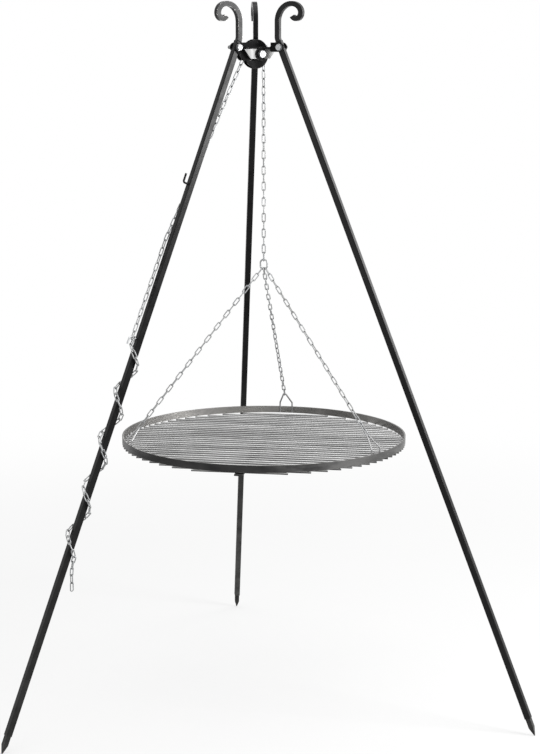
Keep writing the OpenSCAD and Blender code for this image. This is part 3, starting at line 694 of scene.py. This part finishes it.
def rod_steel(name, top, lit_above):
    """Steel bar with a painted highlight on top and painted shade below, with mill marks along it."""
    material, tree, output = new_material(name)
    place = add_node(tree, "TexCoord").outputs["Object"]
    along = laid_out(tree, place, (0, 0, ROD_HEADING), ring_middle)
    parts = add_node(tree, "SeparateXYZ", {0: along}).outputs
    which = sum_of(tree, "ROUND", sum_of(tree, "DIVIDE", parts["Y"], ROD_PITCH))
    own = add_node(tree, "TexWhiteNoise", {"W": which}, noise_dimensions="1D").outputs["Value"]
    lengthwise = add_node(tree, "CombineXYZ", {"X": sum_of(tree, "MULTIPLY", parts["X"], 0.12),
                                               "Y": sum_of(tree, "MULTIPLY_ADD", which, 0.37, parts["Y"]),
                                               "Z": parts["Z"]}).outputs[0]
    patches = effect(tree, mottle, Place=lengthwise, Scale=75.0, Contrast=0.17)
    # Painted light and shade: faces that point up take the lit top colour, faces that point down the dark
    # underside colour.
    facing = add_node(tree, "SeparateXYZ", {0: add_node(tree, "NewGeometry").outputs["Normal"]}).outputs["Z"]
    ragged = sum_of(tree, "MULTIPLY_ADD", patches, 0.35, facing)
    lit_from_above = spread(tree, ragged, lit_above - 0.35, lit_above + 0.45)
    marks = add_node(tree, "TexNoise", {"Vector": lengthwise, "Scale": 950.0, "Detail": 2.0}).outputs[0]
    cloudy = sum_of(tree, "MULTIPLY_ADD", patches, 0.4, 0.2)
    bright = sum_of(tree, "MULTIPLY_ADD", own, 0.25, cloudy, clamp=True)
    colour = tint(tree, lit_from_above, tint(tree, patches, *UNDERSIDE_SHADE), tint(tree, bright, *top))
    shell = add_node(tree, "BsdfPrincipled", {
        "Base Color": colour, "Metallic": spread(tree, lit_from_above, 0.0, 1.0, 0.25, 1.0),
        "Roughness": spread(tree, lit_from_above, 0.0, 1.0, 0.75, 0.33), "Normal": bumped(tree, marks, 0.00008, 0.6)})
    tree.links.new(shell.outputs[0], output.inputs["Surface"])
    return material


finish_in(rod_steel("rod steel", ROD_LIT_TOP, lit_above=0.15), "grate_rods")
finish_in(rod_steel("cross bar steel", BAR_LIT_TOP, lit_above=0.6), "grate_bar")


# Three lugs, one to a sling: 4 mm round wire bent into an arch and welded by both feet to the
# ring's inner face. The wire carries a painted highlight nearly all round, and the weld beside each foot has
# painted shade on its lower half.
LUG_LIT_TOP = ((0.22, 0.22, 0.22), (0.42, 0.42, 0.42))
WELD_LIT_TOP = ((0.09, 0.088, 0.086), (0.30, 0.295, 0.29))
finish_in(rod_steel("lug steel", LUG_LIT_TOP, lit_above=-0.6), "ring_lugs")

weld_steel = rod_steel("weld steel", WELD_LIT_TOP, lit_above=0.0)
RING_CENTRE = Vector((ring_middle[0], ring_middle[1], 0))
RING_UNDER = ring_low[2]
RING_TOP = ring_high[2]
RING_WALL = 0.0035
INNER = ring_radius - RING_WALL


def grate_point(angle, radius, height, along=0.0):
    """A point on the grate: radius out at an angle, and along the ring from there."""
    out = Vector((math.cos(angle), math.sin(angle), 0))
    return RING_CENTRE + out * radius + Vector((-out.y, out.x, 0)) * along + Vector((0, 0, height))


LUG_HEADINGS = (75, 195, 315)
LUG_HALF_SPAN = 0.016
LUG_WIRE_OUT = 0.34445
LUG_HALF_ANGLE = math.asin(LUG_HALF_SPAN / LUG_WIRE_OUT)
LUG_WELD_SIDE = 0.0021
LUG_WELD_OUT = INNER - 0.0006
LUG_WELD_LOW = RING_UNDER + 0.002
LUG_WELD_HIGH = RING_TOP - 0.001
LUG_BEAD = 0.0013
runs = []
for heading in LUG_HEADINGS:
    for turn in (-LUG_HALF_ANGLE, LUG_HALF_ANGLE):
        for along in (-LUG_WELD_SIDE, LUG_WELD_SIDE):
            angle = math.radians(heading) + turn
            runs.append([grate_point(angle, LUG_WELD_OUT, LUG_WELD_LOW, along),
                         grate_point(angle, LUG_WELD_OUT, LUG_WELD_HIGH, along)])
weld("lug_welds", runs, LUG_BEAD, weld_steel, "grate")


# The seam that closes the ring, one upright bead at the back, and a lump of weld over each end of
# a rod, at the foot of the ring's inner face. Both are bare steel, with painted shade below.
SEAM = math.radians(118)
SEAM_OUT = ring_radius - 0.0008
SEAM_BEAD = 0.0014
seam = [grate_point(SEAM, SEAM_OUT, height) for height in (RING_UNDER, RING_TOP)]
weld("ring_seam", [seam], SEAM_BEAD, weld_steel, "grate")

ROD_COUNT = 15
TACK_SHAPE = (0.0016, 0.0029, 0.0015)
TACK_OUT = INNER - 0.0008
TACK_HEIGHT = RING_UNDER + 0.0005
tacks = []
bpy.ops.mesh.primitive_ico_sphere_add(subdivisions=2, radius=1)
lump = bpy.context.object
bpy.ops.object.mode_set(mode="EDIT")
bpy.ops.mesh.select_all(action="SELECT")
bpy.ops.transform.vertex_random(offset=0.09, seed=3)
bpy.ops.transform.resize(value=TACK_SHAPE)
bpy.ops.object.mode_set(mode="OBJECT")
bpy.ops.object.shade_smooth()
for rod in range(-ROD_COUNT, ROD_COUNT + 1):
    off = rod * ROD_PITCH
    for end in (-1, 1):
        angle = ROD_HEADING + math.atan2(off, end * math.sqrt(INNER ** 2 - off ** 2))
        place = Matrix.Translation(grate_point(angle, TACK_OUT, TACK_HEIGHT))
        place = place @ Matrix.Rotation(angle, 4, "Z") @ Matrix.Scale(chance.uniform(0.85, 1.15), 4)
        tacks.append(copied(lump, place))
bpy.data.objects.remove(lump, do_unlink=True)
rod_welds = joined(tacks)
rod_welds.name = "rod_welds"
rod_welds.data.materials.append(weld_steel)
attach(rod_welds, "grate")
